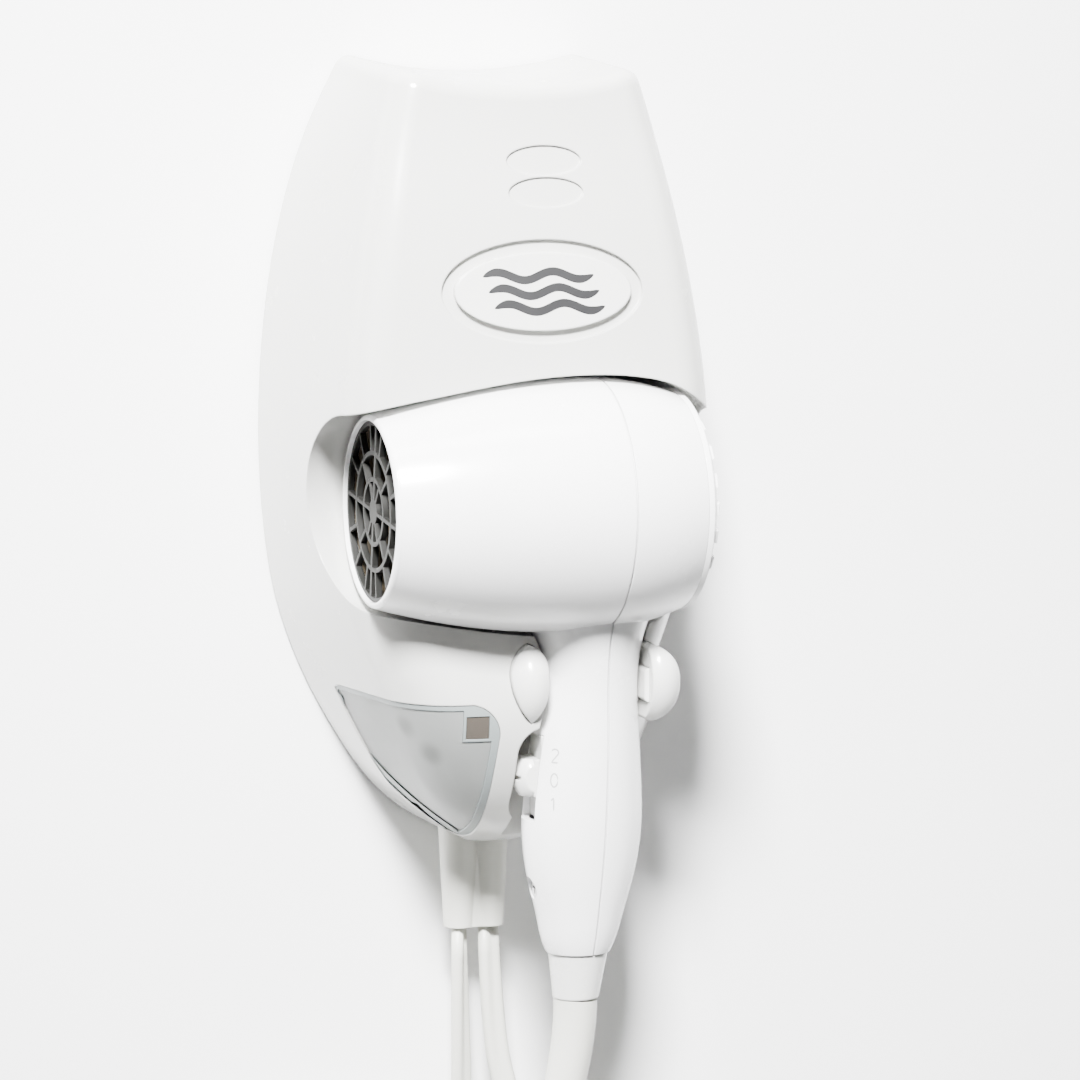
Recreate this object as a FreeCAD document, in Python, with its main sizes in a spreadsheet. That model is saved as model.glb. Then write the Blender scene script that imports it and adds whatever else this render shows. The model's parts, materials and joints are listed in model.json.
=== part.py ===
"""Wall-mounted hair dryer with a night light: a wall unit with a cradle, and the hand dryer that hangs in it.

Frame: +X right along the wall, +Y into the wall, +Z up. The wall is the plane y = 0, and the origin is in that
plane, halfway up the wall unit's bracket. Lengths are millimetres. The driving sizes are in the sheet "Sizes".
"""
import FreeCAD, Part
import math
import os

import Sketcher

V = FreeCAD.Vector
X_AXIS, Y_AXIS, Z_AXIS = V(1, 0, 0), V(0, 1, 0), V(0, 0, 1)

doc = FreeCAD.newDocument("wall_hair_dryer")
sheet = doc.addObject("Spreadsheet::Sheet", "Sizes")
pieces = []


# ---------------------------------------------------------------- driving sizes and their formulas

class Dim:
    """A length that knows the spreadsheet formula it comes from."""

    def __init__(self, value, formula):
        self.value = value
        self.formula = formula

    def __add__(self, other):
        return Dim(self.value + number(other), f"({self.formula} + {formula(other)})")

    def __sub__(self, other):
        return Dim(self.value - number(other), f"({self.formula} - {formula(other)})")

    def __rsub__(self, other):
        return Dim(number(other) - self.value, f"({formula(other)} - {self.formula})")

    def __mul__(self, other):
        return Dim(self.value * number(other), f"({self.formula} * {formula(other)})")

    def __truediv__(self, other):
        return Dim(self.value / number(other), f"({self.formula} / {formula(other)})")

    def __neg__(self):
        return Dim(-self.value, f"(0 - {self.formula})")

    __radd__ = __add__
    __rmul__ = __mul__


def number(x):
    return x.value if isinstance(x, Dim) else float(x)


def formula(x):
    return x.formula if isinstance(x, Dim) else f"{float(x):g}"


def dims(**values):
    """Writes named sizes to the sheet and returns them as Dim objects."""
    made = []
    for name, value in values.items():
        row = dims.row
        dims.row += 1
        sheet.set(f"A{row}", name)
        sheet.set(f"B{row}", str(value))
        sheet.setAlias(f"B{row}", name)
        made.append(Dim(float(value), f"Sizes.{name}"))
    return made


dims.row = 1

# Shells and fits
wall, shell_wall = dims(housing_wall=2.5, dryer_wall=2.2)

# Barrel of the dryer: its axis runs along X, the nozzle points to -X
axis_y, axis_z = dims(barrel_y=-62.0, barrel_z=-12.5)
nozzle_x, crown_x, rear_x = dims(nozzle_face_x=-48.6, barrel_crown_x=16.0, barrel_rear_x=45.0)
nozzle_r, crown_r, rear_r, mouth_r = dims(nozzle_radius=28.5, barrel_radius=37.8, rear_radius=32.6,
                                          mouth_radius=26.7)
seam_x, seam_foot_x = dims(shell_seam_x=21.0, shell_seam_foot_x=16.2)
dome_depth, scoop_gap = dims(intake_dome_depth=8.5, barrel_seat_gap=2.2)

# Handle of the dryer, which hangs from the barrel
foot_z, grip_z, neck_z = dims(handle_foot_z=-147.0, handle_grip_z=-108.0, handle_neck_z=-64.0)
collar_z = dims(collar_foot_z=-161.0)[0]

# Wall unit
hood_top, hood_dip_r, hood_fall = dims(hood_top_z=114.5, hood_dip_radius=136.0, hood_fall_degrees=4.0)

# Switch on the side of the handle
knob_z, knob_travel, knob_len, knob_wide = dims(knob_centre_z=-93.2, knob_travel_each_way=6.8, knob_length=11.2,
                                                knob_width=10.6)

# Cable outlet and cords
boot_x, boot_y, boot_foot, boot_pitch = dims(boot_centre_x=-2.2, boot_centre_y=-17.0, boot_foot_z=-147.0,
                                             boot_lobe_pitch=9.4)
cord_r, coil_r = dims(cord_tube_radius=2.9, coil_mean_radius=40.5)
doc.recompute()


# ---------------------------------------------------------------- helpers

def bind(obj, **values):
    """Sets properties of an object, each from its formula."""
    for name, value in values.items():
        if isinstance(value, Dim):
            obj.setExpression(name, value.formula)
        setattr(obj, name, number(value))
    return obj


def place(obj, x=0.0, y=0.0, z=0.0, turn=None):
    """Puts an object at a point that follows the sheet, with an optional rotation."""
    obj.Placement = FreeCAD.Placement(V(number(x), number(y), number(z)), turn or FreeCAD.Rotation())
    for word, value in (("x", x), ("y", y), ("z", z)):
        if isinstance(value, Dim):
            obj.setExpression(f"Placement.Base.{word}", value.formula)
    return obj


def along(direction):
    return FreeCAD.Rotation(Z_AXIS, direction)


def box(name, x, y, z):
    """A block from three (low, high) pairs."""
    block = doc.addObject("Part::Box", name)
    bind(block, Length=x[1] - x[0], Width=y[1] - y[0], Height=z[1] - z[0])
    return place(block, x[0], y[0], z[0])


def rod(name, start, direction, radius, length):
    cylinder = doc.addObject("Part::Cylinder", name)
    bind(cylinder, Radius=radius, Height=length)
    return place(cylinder, *start, turn=along(direction))


def cut(name, base, tool):
    made = doc.addObject("Part::Cut", name)
    made.Base = base
    made.Tool = tool
    return made


def fuse(name, parts):
    made = doc.addObject("Part::MultiFuse", name)
    made.Shapes = parts
    return made


def common(name, first, second):
    made = doc.addObject("Part::Common", name)
    made.Base = first
    made.Tool = second
    return made


def shaped(name, shape):
    """A free-form object whose shape comes from the sheet's sizes."""
    made = doc.addObject("Part::Feature", name)
    made.Shape = shape
    return made


def piece(label, obj):
    """Registers an object as one physical piece: its Label is the piece's name."""
    obj.Label = label
    pieces.append(obj)
    return obj


def merged(shape):
    """The shape with split faces joined again, where that leaves a valid solid, and repaired where it doesn't."""
    joined = shape.removeSplitter()
    if joined.isValid():
        return joined
    if not shape.isValid():
        shape.fix(1e-4, 1e-4, 1e-4)
    return shape


def union(shapes):
    first, rest = shapes[0], shapes[1:]
    return first.fuse(rest) if rest else first


def group_of(name, solids):
    """Several separate identical solids as one piece."""
    return shaped(name, Part.makeCompound(solids))


def new_body(name, x=0.0, y=0.0, z=0.0, turn=None):
    return place(doc.addObject("PartDesign::Body", name), x, y, z, turn)


def new_sketch(body, name, plane, lift=0.0):
    sketch = body.newObject("Sketcher::SketchObject", name)
    support = next(f for f in body.Origin.OriginFeatures if f.Role == plane)
    sketch.AttachmentSupport = (support, [""])
    sketch.MapMode = "FlatFace"
    sketch.AttachmentOffset = FreeCAD.Placement(V(0, 0, number(lift)), FreeCAD.Rotation())
    if isinstance(lift, Dim):
        sketch.setExpression("AttachmentOffset.Base.z", lift.formula)
    return sketch


def hold(sketch, kind, geometry, point, value):
    """Fixes one coordinate of a point from the sketch's origin."""
    index = sketch.addConstraint(Sketcher.Constraint(kind, -1, 1, geometry, point, number(value)))
    if isinstance(value, Dim):
        sketch.setExpression(f"Constraints[{index}]", value.formula)


def circle(sketch, x, y, radius):
    index = sketch.addGeometry(Part.Circle(V(number(x), number(y), 0), Z_AXIS, number(radius)))
    hold(sketch, "DistanceX", index, 3, x)
    hold(sketch, "DistanceY", index, 3, y)
    size = sketch.addConstraint(Sketcher.Constraint("Radius", index, number(radius)))
    if isinstance(radius, Dim):
        sketch.setExpression(f"Constraints[{size}]", radius.formula)


def polygon(sketch, corners):
    """A closed outline of straight lines whose corners follow the sheet."""
    spots = [V(number(x), number(y), 0) for x, y in corners]
    first = sketch.GeometryCount
    count = len(spots)
    for i in range(count):
        sketch.addGeometry(Part.LineSegment(spots[i], spots[(i + 1) % count]))
    for i in range(count):
        sketch.addConstraint(Sketcher.Constraint("Coincident", first + i, 2, first + (i + 1) % count, 1))
    for i in range(count):
        hold(sketch, "DistanceX", first + i, 1, corners[i][0])
        hold(sketch, "DistanceY", first + i, 1, corners[i][1])


def rectangle(sketch, x, y):
    polygon(sketch, [(x[0], y[0]), (x[1], y[0]), (x[1], y[1]), (x[0], y[1])])


def add_pad(body, sketch, length, back=False, middle=False):
    made = body.newObject("PartDesign::Pad", sketch.Name + "_pad")
    made.Profile = sketch
    bind(made, Length=length)
    made.Reversed = back
    made.Midplane = middle
    doc.recompute()
    return made


def add_pocket(body, sketch, length=None, back=False, middle=False):
    before = body.Shape.Volume
    made = body.newObject("PartDesign::Pocket", sketch.Name + "_pocket")
    made.Profile = sketch
    if length is None:
        made.Type = "ThroughAll"
    else:
        bind(made, Length=length)
    made.Reversed = back
    made.Midplane = middle
    doc.recompute()
    if body.Shape.Volume > before - 0.01:
        raise ValueError(sketch.Name + " cuts nothing")
    return made


def add_ring(body, feature, count, plane="XY_Plane"):
    made = body.newObject("PartDesign::PolarPattern", feature.Name + "_ring")
    made.Originals = [feature]
    axis = {"XY_Plane": "Z_Axis", "YZ_Plane": "X_Axis", "XZ_Plane": "Y_Axis"}[plane]
    made.Axis = (next(f for f in body.Origin.OriginFeatures if f.Role == axis), [""])
    made.Angle = 360
    made.Occurrences = count
    body.Tip = made
    doc.recompute()
    return made


def edge_round(body, base, edges, radius):
    made = body.newObject("PartDesign::Fillet", base.Name + "_round")
    made.Base = (base, edges)
    bind(made, Radius=radius)
    doc.recompute()
    return made


def arc(a, b, c):
    return Part.Arc(a, b, c).toShape()


def line(a, b):
    return Part.LineSegment(a, b).toShape()


def spline(points, closed=False):
    curve = Part.BSplineCurve()
    curve.interpolate(points, PeriodicFlag=closed)
    return curve.toShape()


def wire_prism(wire, depth):
    return Part.Face(wire).extrude(depth)


# ---------------------------------------------------------------- outer forms of the dryer

def bowed(start, crown, reach):
    """Middle point of an arc that starts level at the crown and ends at start (both as x, radius)."""
    run, drop = start[0] - crown[0], crown[1] - start[1]
    radius = (run * run + drop * drop) / (2 * drop)
    x = crown[0] + run * reach
    return V(x, 0, crown[1] - (radius - math.sqrt(radius * radius - (x - crown[0]) ** 2)))


def barrel_form(inset):
    """The barrel as a solid turned about its own axis, moved in by the inset; open-ended shapes run past."""
    r0, r1, r2 = nozzle_r.value - inset, crown_r.value - inset, rear_r.value - inset
    x0, x1, x2 = nozzle_x.value, crown_x.value, rear_x.value
    lip = 1.4
    front, crown, rear = V(x0 + lip, 0, r0), V(x1, 0, r1), V(x2, 0, r2)
    edges = [arc(front, bowed((x0, r0), (x1, r1), 0.5), crown), arc(crown, bowed((x2, r2), (x1, r1), 0.5), rear)]
    if inset:
        mouth = V(x0 + 6, 0, mouth_r.value)
        edges = [line(V(x0 - 5, 0, 0), V(x0 - 5, 0, mouth_r.value)), line(V(x0 - 5, 0, mouth_r.value), mouth),
                 line(mouth, front + V(7, 0, 0.6)), arc(front + V(7, 0, 0.6), bowed((x0, r0), (x1, r1), 0.45), crown),
                 edges[1], line(rear, V(x2 + 9, 0, r2)), line(V(x2 + 9, 0, r2), V(x2 + 9, 0, 0)),
                 line(V(x2 + 9, 0, 0), V(x0 - 5, 0, 0))]
    else:
        tip = V(x0, 0, r0 - lip)
        round_end = arc(tip, V(x0 + 0.41, 0, r0 - 0.41), front)
        edges = [line(V(x0, 0, 0), tip), round_end] + edges + [line(rear, V(x2, 0, 0)), line(V(x2, 0, 0), V(x0, 0, 0))]
    solid = wire_prism_turned(Part.Wire(edges))
    solid.translate(V(0, axis_y.value, axis_z.value))
    return solid


def wire_prism_turned(wire):
    return Part.Face(wire).revolve(V(0, 0, 0), X_AXIS, 360)


def oval(x, y, z, a, b):
    """A level oval: a is its half width along X, b along Y."""
    if a >= b:
        ring = Part.Ellipse(V(x, y, z), a, b)
    else:
        ring = Part.Ellipse(V(x, y + b, z), V(x + a, y, z), V(x, y, z))
    return Part.Wire([ring.toShape()])


def handle_form(inset, low=0.0):
    """The handle: ovals from inside the barrel down to its foot, as (z, centre x, half width, half depth)."""
    foot, grip, neck = foot_z.value, grip_z.value, neck_z.value
    stations = [(-30.0, 18.0, 25.0, 22.0), (-42.0, 18.3, 21.0, 18.5), (-51.0, 19.0, 17.0, 15.2),
                (neck, 19.3, 14.7, 13.0), (-80.0, 18.2, 16.3, 13.4), (-95.0, 17.5, 17.8, 14.0),
                (grip, 17.1, 18.4, 14.0), (-124.0, 16.7, 16.4, 12.8), (-136.0, 16.4, 13.2, 11.2),
                (foot, 15.9, 9.7, 9.0)]
    rings = [oval(x, axis_y.value, z - (low if z == foot else 0.0), a - inset, b - inset) for z, x, a, b in stations]
    return Part.makeLoft(rings, True, False)


def seam_tool():
    """Everything behind the parting surface of the two dryer shells."""
    top = V(seam_x.value, -130, 60)
    bend = V(seam_x.value, -130, -78)
    middle = V(19.8, -130, -112)
    foot = V(seam_foot_x.value, -130, -170)
    far_low, far_top = V(120, -130, -170), V(120, -130, 60)
    edges = [line(top, bend), arc(bend, middle, foot), line(foot, far_low), line(far_low, far_top),
             line(far_top, top)]
    return wire_prism(Part.Wire(edges), V(0, 130, 0))


dryer_outer = barrel_form(0).fuse(handle_form(0))
dryer_inner = barrel_form(shell_wall.value).fuse(handle_form(shell_wall.value, 1.6))
dryer_skin = dryer_outer.cut(dryer_inner)
dryer_middle = handle_form(shell_wall.value / 2)
behind_seam = seam_tool()


# ---------------------------------------------------------------- outer forms of the wall unit

# Level sections of the housing: height, half width at the wall, half width at the front, depth, corner radius
HULL = [(-119.4, 7.0, 5.4, 24.0, 3.6), (-118.0, 10.4, 8.2, 32.0, 5.6), (-115.2, 15.6, 12.2, 41.0, 8.5),
        (-110.5, 22.6, 17.4, 50.0, 12.0), (-102.2, 31.2, 24.0, 59.4, 16.5), (-88.1, 41.0, 31.0, 67.4, 20.5),
        (-72.0, 50.0, 36.5, 70.2, 22.0), (-58.0, 56.0, 42.5, 67.6, 21.0), (-42.0, 60.8, 49.0, 65.6, 18.0),
        (-24.0, 63.6, 53.5, 67.6, 15.0), (6.0, 65.1, 55.6, 73.5, 13.0), (28.0, 64.3, 54.2, 72.8, 12.5),
        (50.0, 61.9, 51.2, 70.4, 12.0), (76.0, 56.6, 46.5, 66.0, 11.0), (100.0, 48.2, 41.5, 60.5, 10.0),
        (124.0, 36.0, 35.0, 54.0, 9.0)]
# The swelling right of the handle: its centre, then half width, depth and height
SWELLING = (V(12, -22, -69), (40.0, 45.0, 41.0))
# The valley in the front for the handle, as (x, z), with its floor, and the thumb's room beside the switch
VALLEY = [(-9.0, -40.0), (0.8, -51.0), (3.3, -57.0), (3.4, -66.0), (0.7, -80.0), (-1.6, -95.0), (-2.5, -108.0),
          (-1.2, -128.0), (34.2, -128.0), (36.7, -108.0), (36.5, -95.0), (35.7, -80.0), (35.2, -64.0),
          (37.2, -51.0), (44.0, -40.0)]
VALLEY_FLOOR, THUMB_ROOM_X, THUMB_ROOM_R = -43.6, 3.4, 8.5
FRONT_BULGE = 2.6


def hull_section(z, back, front, depth, radius, inset):
    """One level section: straight flanks, round corners and a slightly bowed front."""
    back, front, depth, radius = back - inset, front - inset, depth - inset, max(radius - inset, 1.5)
    bulge = FRONT_BULGE * front / 50.0
    big = (front * front + bulge * bulge) / (2 * bulge)
    centre = V(0, -depth + big, 0)
    start, corner = V(back, 2.0, 0), V(front, -depth + bulge, 0)
    run = corner - start
    run.normalize()
    inward = V(run.y, -run.x, 0)
    base = start + inward * radius - centre
    half = base.dot(run)
    far = -half + math.sqrt(half * half - (base.dot(base) - (big - radius) ** 2))
    knee = start + inward * radius + run * far
    flank_end = knee - inward * radius
    out = knee - centre
    out.normalize()
    front_end = knee + out * radius
    mid = out - inward
    mid.normalize()
    bend = knee + mid * radius

    def at(point, side):
        return V(side * point.x, point.y, z)

    return Part.Wire([line(at(start, -1), at(start, 1)), line(at(start, 1), at(flank_end, 1)),
                      arc(at(flank_end, 1), at(bend, 1), at(front_end, 1)),
                      arc(at(front_end, 1), V(0, -depth, z), at(front_end, -1)),
                      arc(at(front_end, -1), at(bend, -1), at(flank_end, -1)),
                      line(at(flank_end, -1), at(start, -1))])


def oval_ball(centre, radii, inset=0.0):
    """A ball stretched to three different radii, moved in by the inset."""
    grow = FreeCAD.Matrix()
    grow.scale(*[radius - inset for radius in radii])
    return Part.makeSphere(1.0).transformGeometry(grow).translated(centre)


def valley(inset):
    """What is taken out of the front for the handle, the fork and the thumb, grown by the inset."""
    floor = VALLEY_FLOOR + inset
    face = Part.Face(Part.makePolygon([V(x, floor, z) for x, z in VALLEY + VALLEY[:1]]))
    if inset:
        face = face.makeOffset2D(inset)
    room = face.extrude(V(0, -90, 0))
    left = THUMB_ROOM_X - THUMB_ROOM_R - inset
    for side in (-1, 1):
        end = V(THUMB_ROOM_X, -50 + inset, knob_z.value + 7.2 * side)
        room = room.fuse(Part.makeCylinder(THUMB_ROOM_R + inset, 90, end, V(0, -1, 0)))
    middle = Part.makeBox(THUMB_ROOM_R, 90, 14.4, V(left, -140 + inset, knob_z.value - 7.2))
    return room.fuse(middle)


def hull_form(inset):
    """The housing's body before the hollow for the barrel, moved in by the inset."""
    sections = [hull_section(z + inset * min(max((-84 - z) / 30, 0), 1), *rest, inset) for z, *rest in HULL]
    solid = Part.makeLoft(sections, True, False)
    solid = solid.fuse(oval_ball(*SWELLING, inset)).cut(valley(inset))
    dip = Part.makeCylinder(hood_dip_r.value, 160, V(0, 40, 0), V(0, -1, 0))
    tilt = hood_fall.value
    dip.rotate(V(0, 0, 0), X_AXIS, tilt)
    dip.translate(V(0, 0, hood_top.value + hood_dip_r.value - inset))
    return solid.cut(dip).cut(Part.makeBox(300, 60, 400, V(-150, 0, -200)))


def seat_form(inset):
    """Room for the barrel: turned about its axis and drawn out towards the room; the inset makes it larger."""
    slack = scoop_gap.value + inset
    rim = [(-95.0, 19.0), (-62.0, 24.6), (-48.0, 28.2), (-31.0, 31.4), (-8.0, 35.2), (16.0, 36.8), (34.0, 35.4),
           (46.0, 31.6), (54.0, 26.2), (70.0, 21.0), (95.0, 18.0)]
    points = [V(x, 0, r + slack) for x, r in rim]
    low, high = V(-95, 0, 0), V(95, 0, 0)
    half = Part.Wire([line(low, points[0]), spline(points), line(points[-1], high), line(high, low)])
    turned = wire_prism_turned(half)
    drawn = wire_prism(half, V(0, -90, 0))
    under = drawn.mirror(V(0, 0, 0), Z_AXIS)
    solid = turned.fuse([drawn, under])
    solid.translate(V(0, axis_y.value, axis_z.value))
    return solid


def round_top(solid, radius):
    """Rounds the edges between the hood's top and its sides and front."""
    edges = []
    for edge in solid.Edges:
        box_of = edge.BoundBox
        if box_of.ZMin > 104 and box_of.YMin < -1.0 and box_of.ZLength < 12:
            edges.append(edge)
    try:
        made = solid.makeFillet(radius, edges)
        if made.isValid():
            return made
    except Part.OCCError:
        pass
    print("hood's top edges stay sharp")
    return solid


hull_outer = round_top(hull_form(0), 5.0)
hull_inner = hull_form(wall.value)
seat = seat_form(0)
housing_skin = hull_outer.cut(seat).cut(hull_inner.cut(seat_form(wall.value)))


# ---------------------------------------------------------------- wall unit: bracket, plate and housing

def level_oval(x, z, half_wide, half_tall, near, far):
    """An oval prism along Y between two depths."""
    ring = Part.Ellipse(V(0, 0, 0), half_wide, half_tall).toShape()
    solid = wire_prism(Part.Wire([ring]), V(0, 0, far - near))
    solid.rotate(V(0, 0, 0), X_AXIS, 90)
    solid.translate(V(x, -near, z))
    return solid


def rod_shape(start, direction, radius, length):
    return Part.makeCylinder(radius, length, start, direction)


def block(x, y, z):
    return Part.makeBox(x[1] - x[0], y[1] - y[0], z[1] - z[0], V(x[0], y[0], z[0]))


def both_sides(x, z):
    return [(side * x, level) for level in (z, -z) for side in (-1, 1)]


bracket_half_x, bracket_half_z, bracket_thick = dims(bracket_half_width=34.0, bracket_half_height=68.0,
                                                     bracket_thickness=2.5)
hole_x, hole_z, hole_r = dims(wall_hole_from_middle_x=24.0, wall_hole_from_middle_z=55.0, wall_hole_radius=2.6)
hook_x, hook_z = dims(hook_from_middle_x=24.0, hook_from_middle_z=30.0)
PLATE = (-5.6, -3.0)
HOUSING_SCREWS = [(-41.0, 72.0), (41.0, 72.0), (-33.0, -74.0), (33.0, -74.0)]


def make_wall_bracket():
    body = new_body("bracket_body")
    outline = new_sketch(body, "bracket_outline", "XZ_Plane")
    rectangle(outline, (-bracket_half_x, bracket_half_x), (-bracket_half_z, bracket_half_z))
    add_pad(body, outline, bracket_thick)
    hooks = new_sketch(body, "bracket_hooks", "XZ_Plane")
    for side in (-1, 1):
        for level in (-1, 1):
            x, z = hook_x * side, hook_z * level
            rectangle(hooks, (x - 4, x + 4), (z - 2, z + 2))
    add_pad(body, hooks, bracket_thick + 6.5)
    holes = new_sketch(body, "bracket_holes", "XZ_Plane")
    for side in (-1, 1):
        for level in (-1, 1):
            circle(holes, hole_x * side, hole_z * level, hole_r)
    add_pocket(body, holes, back=True, length=20, middle=True)
    piece("wall_bracket", body)


def make_back_plate():
    solid = hull_form(wall.value + 0.3).common(block((-90, 90), PLATE, (-130, 130)))
    for x, z in both_sides(hook_x.value, hook_z.value):
        solid = solid.cut(block((x - 4.5, x + 4.5), (-9, 0), (z - 2.5, z + 8)))
    for x, z in both_sides(hole_x.value, hole_z.value):
        solid = solid.cut(rod_shape(V(x, 1, z), V(0, -1, 0), 5.5, 12))
    for x, z in HOUSING_SCREWS:
        solid = solid.cut(rod_shape(V(x, 1, z), V(0, -1, 0), 1.8, 12))
    foot_slot = block((boot_x.value - 12, boot_x.value + 12), (-9, 0), (-125, -111))
    piece("back_plate", shaped("back_plate_shape", solid.cut(foot_slot)))


def make_housing_screws():
    screws = []
    for x, z in HOUSING_SCREWS:
        head = rod_shape(V(x, -3.0, z), Y_AXIS, 3.0, 1.8)
        shank = rod_shape(V(x, -3.0, z), V(0, -1, 0), 1.45, 12)
        screws.append(head.fuse(shank).cut(block((x - 2, x + 2), (-1.9, 0), (z - 0.4, z + 0.4))))
    piece("housing_screws", group_of("housing_screws_shape", screws))


# The night light's window: a curved triangle in the lower left of the housing, as (x, z)
LENS_TOP_LEFT, LENS_TOP, LENS_TOP_RIGHT = V(-46.4, 0, -69.3), V(-38.8, 0, -69.7), V(-19.2, 0, -69.9)
LENS_CORNER, LENS_SIDE_TOP = V(-13.5, 0, -72.9), V(-10.8, 0, -79.5)
LENS_SIDE, LENS_TIP = V(-11.8, 0, -95.3), V(-11.2, 0, -113.3)
LENS_TIP_ROUND, LENS_LOW = V(-11.9, 0, -114.9), V(-14.6, 0, -114.2)
LENS_EDGE, LENS_EDGE_TOP = V(-31.6, 0, -98.6), V(-45.4, 0, -74.1)
LENS_LEFT_ROUND = V(-46.7, 0, -70.9)
LENS_BACK = -18.5


def lens_outline():
    return Part.Wire([arc(LENS_TOP_LEFT, LENS_TOP, LENS_TOP_RIGHT), arc(LENS_TOP_RIGHT, LENS_CORNER, LENS_SIDE_TOP),
                      arc(LENS_SIDE_TOP, LENS_SIDE, LENS_TIP), arc(LENS_TIP, LENS_TIP_ROUND, LENS_LOW),
                      arc(LENS_LOW, LENS_EDGE, LENS_EDGE_TOP), arc(LENS_EDGE_TOP, LENS_LEFT_ROUND, LENS_TOP_LEFT)])


def lens_prism(inset, shift=0.0):
    """The window's outline moved in by the inset and drawn out through the housing's front wall."""
    face = Part.Face(lens_outline())
    if inset:
        face = face.makeOffset2D(-inset)
    return face.extrude(V(0, -60, 0)).translated(V(shift, LENS_BACK, 0))


SENSOR_X, SENSOR_Z = (-21.2, -14.2), (-80.2, -73.4)


def hull_layer(outside, inside):
    """The layer of the housing between two insets, from the wall outwards."""
    return hull_form(outside).cut(hull_form(inside))


LEFT_PRONG = [(-1.7, -53.0), (2.2, -55.9), (3.0, -61.4), (2.6, -68.4), (-1.4, -76.2), (-5.6, -70.4), (-7.4, -63.4),
              (-5.6, -56.4)]
RIGHT_PRONG = [(35.5, -56.5), (35.9, -55.0), (37.3, -54.6), (41.7, -57.7), (44.3, -66.0), (41.7, -74.3),
               (37.3, -77.8), (35.9, -77.4), (35.5, -76.0), (35.45, -66.0)]


def prong_outline(points):
    """A leaf-shaped outline of arcs through points given as (x, z), each arc through three of them."""
    spots = [V(x, -40, z) for x, z in points]
    edges = []
    for i in range(0, len(spots), 2):
        edges.append(arc(spots[i], spots[i + 1], spots[(i + 2) % len(spots)]))
    return Part.Wire(edges)


def fork_room(slack):
    """Openings in the housing for the fork: its base in the valley, its two prongs and the plunger's tail."""
    base = block((-9 - slack, 42 + slack), (-46, -34), (-78 - slack, -54.4 + slack))
    prongs = [wire_prism(Part.Face(prong_outline(points)).makeOffset2D(slack).OuterWire, V(0, -60, 0))
              for points in (LEFT_PRONG, RIGHT_PRONG)]
    tail = block((36.1, 42.7), (-64, -30), (-70.2, -63.2))
    return union([base, tail] + prongs)


def make_front_housing():
    solid = housing_skin
    for x, z in HOUSING_SCREWS:
        boss = rod_shape(V(x, -5.8, z), V(0, -1, 0), 4.2, 80).common(hull_form(1.0))
        bore = rod_shape(V(x, -5.0, z), V(0, -1, 0), 1.45, 12)
        solid = solid.fuse(boss).cut(bore)
    badge_dish = level_oval(2.4, 51.1, 31.0, 15.0, 40, 100).cut(hull_form(1.3))
    solid = solid.cut(badge_dish)
    for level in (88.8, 79.6):
        solid = solid.cut(level_oval(4.9, level, 11.5, 4.4, 30, 100).cut(hull_form(0.6)))
    solid = solid.cut(lens_prism(0)).cut(fork_room(0.25))
    mouth = boot_lobes(0.2)
    solid = solid.cut(mouth)
    piece("front_housing", shaped("front_housing_shape", merged(solid)))


def make_badge():
    plate = level_oval(2.4, 51.1, 27.2, 11.4, 40, 100).common(hull_layer(-0.5, 1.3))
    piece("badge_plate", shaped("badge_plate_shape", plate))


# ---------------------------------------------------------------- wall unit: cradle and cut-off plunger

prong_front = dims(prong_front_y=-75.0)[0]
plunger_x, plunger_travel = dims(plunger_tip_x=34.4, plunger_travel=2.4)
PLUNGER_Y, PLUNGER_Z = (-70.0, -58.5), (-71.8, -61.6)


def make_cradle_fork():
    base = block((-9, 42), (-44.4, -37), (-78, -54.4))
    solid = base
    for points, middle in ((LEFT_PRONG, -1.0), (RIGHT_PRONG, 39.4)):
        prong = wire_prism(prong_outline(points), V(0, prong_front.value + 40, 0))
        keep = oval_ball(V(middle, -60, -65.2), (9.2, -60 - prong_front.value, 14.8))
        keep = keep.fuse(block((middle - 20, middle + 20), (-60, -20), (-90, -40)))
        solid = solid.fuse(prong.common(keep))
    room = block((35.0, 42.45), (PLUNGER_Y[0] - 0.25, PLUNGER_Y[1] + 0.25), (PLUNGER_Z[0] - 0.25, PLUNGER_Z[1] + 0.25))
    channel = block((36.5, 41.9), (-59, -30), (-69.6, -63.8))
    piece("cradle_fork", shaped("cradle_fork_shape", merged(solid.cut(room).cut(channel))))


def make_dock_plunger():
    button = box("plunger_button", (plunger_x, plunger_x + 4.6), PLUNGER_Y, PLUNGER_Z)
    tail = box("plunger_tail", (plunger_x + 2.4, plunger_x + 4.6), (-59.5, -27.0), (-69.2, -64.2))
    rounded = doc.addObject("Part::Fillet", "plunger_rounded")
    rounded.Base = button
    rounded.Edges = [(i, 1.2, 1.2) for i in (1, 2, 3, 4)]
    piece("dock_plunger", fuse("dock_plunger_shape", [rounded, tail]))


def make_plunger_spring():
    """A thin strip folded to and fro between the plunger and the prong."""
    near, far, thick = plunger_x.value + 4.75, 42.3, 0.35
    folds = [V(near if i % 2 == 0 else far - thick, -68.5, -70.0 + 1.4 * i) for i in range(6)]
    shifted = [spot + V(thick, 0, 0) for spot in reversed(folds)]
    strip = Part.Face(Part.makePolygon(folds + shifted + folds[:1])).extrude(V(0, 6, 0))
    piece("plunger_spring", shaped("plunger_spring_shape", strip))


def make_dock_microswitch():
    body = box("microswitch_block", (42.3, 46.2), (-31.0, -23.0), (-71.5, -62.0))
    button = rod("microswitch_button", (41.7, -28.6, -66.7), X_AXIS, 0.9, 1.2)
    piece("dock_microswitch", fuse("dock_microswitch_shape", [body, button]))


# ---------------------------------------------------------------- wall unit: night light

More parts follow.
